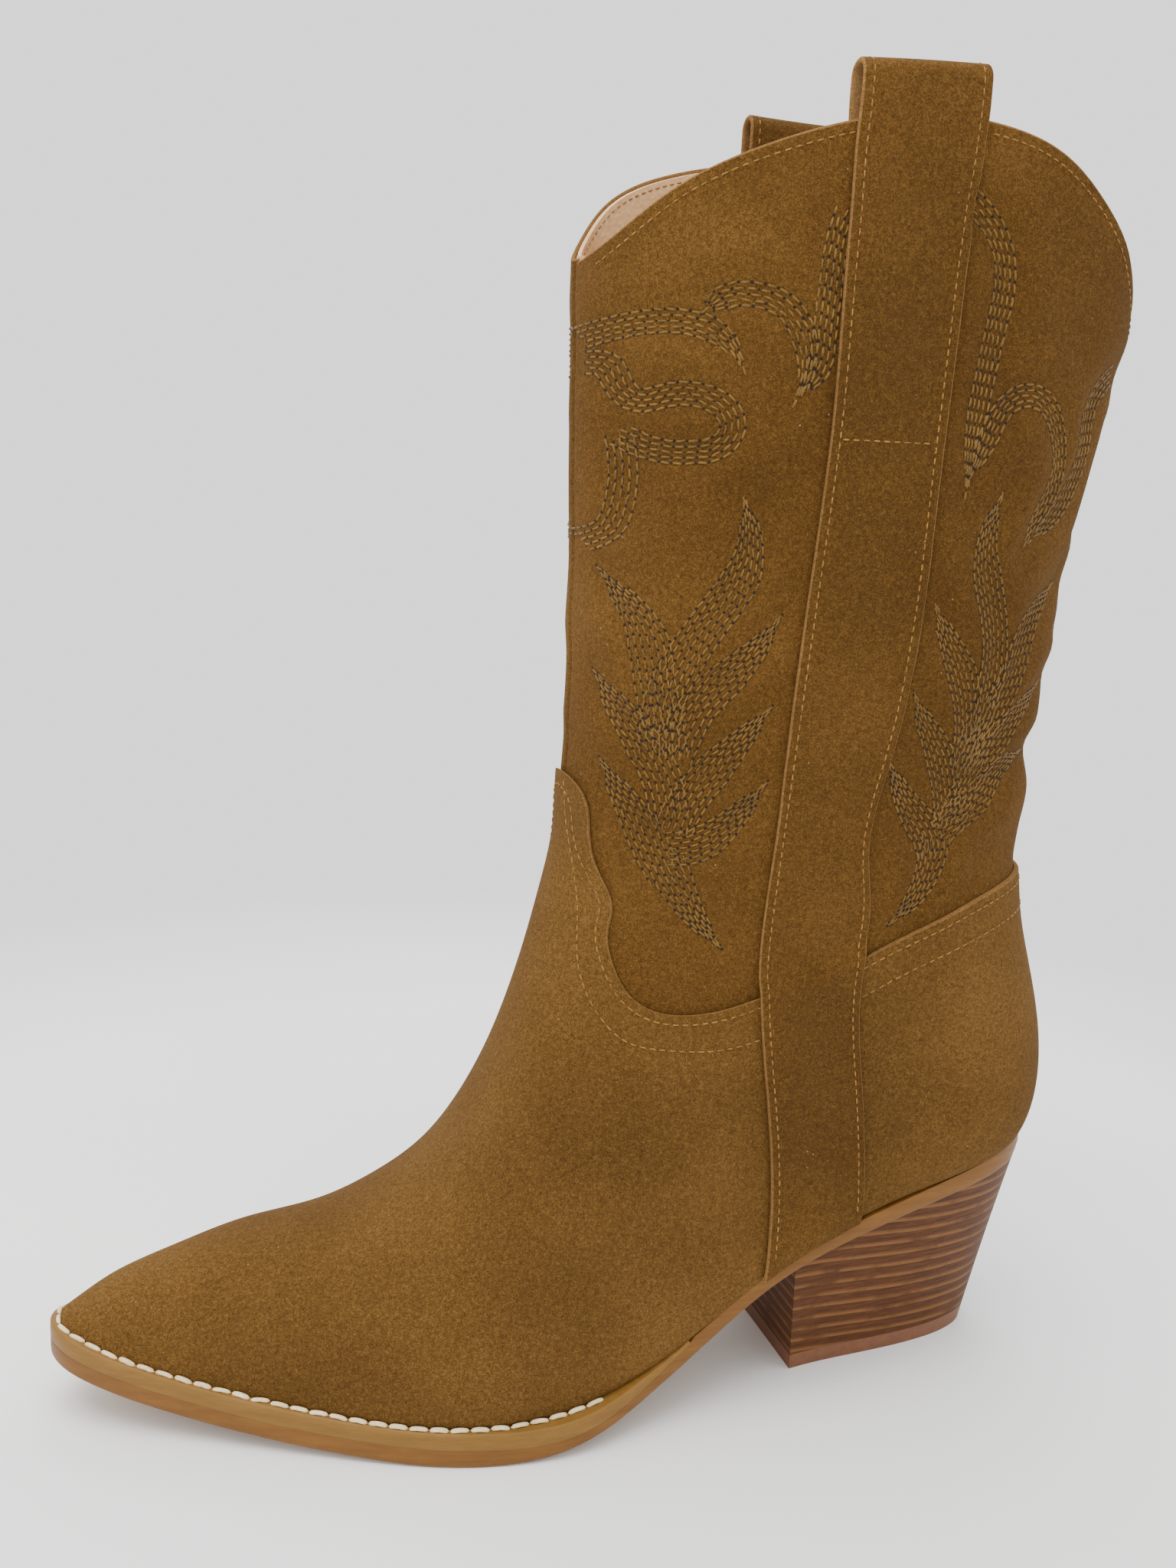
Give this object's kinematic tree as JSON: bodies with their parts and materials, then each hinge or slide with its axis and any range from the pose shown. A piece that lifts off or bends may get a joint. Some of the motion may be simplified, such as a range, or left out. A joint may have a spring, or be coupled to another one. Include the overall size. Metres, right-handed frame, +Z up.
{
  "type": "cowboy boot",
  "caption": "Left pull-on boot with pointed toe, scalloped shaft, side straps ending in pull loops, welted sole and tapered stacked heel.",
  "frame": {"origin": "on the floor under the middle of the boot's bounding box", "axes": "+Z up, -X towards the toe, +X towards the heel, -Y towards the outer (lateral) side of this left boot"},
  "size_m": [0.2731, 0.0917, 0.337],
  "materials": {
    "suede": "matte napped suede",
    "strap_suede": "matte napped suede",
    "lining_leather": "satin pebbled lining leather",
    "backing_cloth": "woven tape",
    "stiffener_board": "resin-stiffened cloth",
    "insole_board": "bonded leather board",
    "foam": "soft cellular foam",
    "sole_leather": "burnished edge",
    "welt_leather": "natural edge",
    "filler": "granular",
    "stacked_leather": "striped stack, satin",
    "top_piece_rubber": "matte",
    "steel": "plain steel",
    "brass": "plain brass"
  },
  "bodies": {
    "boot": {"vamp": "suede", "heel_foxing": "suede", "toe_puff": "stiffener_board", "vamp_interlining": "backing_cloth", "heel_stiffener": "stiffener_board", "vamp_lining": "lining_leather", "heel_lining": "lining_leather", "shaft_panel_lateral": "suede", "shaft_panel_medial": "suede", "shaft_lining_lateral": "lining_leather", "shaft_lining_medial": "lining_leather", "topline_tape_lateral": "backing_cloth", "topline_tape_medial": "backing_cloth", "side_strap_lateral": "strap_suede", "side_strap_medial": "strap_suede", "strap_tail_lateral": "strap_suede", "strap_tail_medial": "strap_suede", "front_seam_tape": "backing_cloth", "back_seam_tape": "backing_cloth", "shank": "steel", "insole_board": "insole_board", "sock_foam": "foam", "sock_liner": "lining_leather", "welt": "welt_leather", "forepart_filler": "filler", "outsole": "sole_leather", "heel_top_piece": "top_piece_rubber", "heel_lift_1": "stacked_leather", "heel_lift_2": "stacked_leather", "heel_lift_3": "stacked_leather", "heel_lift_4": "stacked_leather", "heel_lift_5": "stacked_leather", "heel_lift_6": "stacked_leather", "heel_lift_7": "stacked_leather", "heel_lift_8": "stacked_leather", "heel_nails": "steel", "heel_screw": "steel", "top_piece_brads": "brass"},
    "lateral_loop": {"pull_loop_lateral": "strap_suede"},
    "medial_loop": {"pull_loop_medial": "strap_suede"}
  },
  "joints": [
    {"name": "lateral_loop_bend", "type": "hinge", "parent": "boot", "child": "lateral_loop", "pos_m": [0.05975, -0.0411, 0.3259], "axis": [1, 0, 0], "range_deg": [-20, 20], "stiffness_Nm_per_rad": 0.02},
    {"name": "medial_loop_bend", "type": "hinge", "parent": "boot", "child": "medial_loop", "pos_m": [0.05975, 0.0386, 0.3259], "axis": [1, 0, 0], "range_deg": [-20, 20], "stiffness_Nm_per_rad": 0.02}
  ]
}
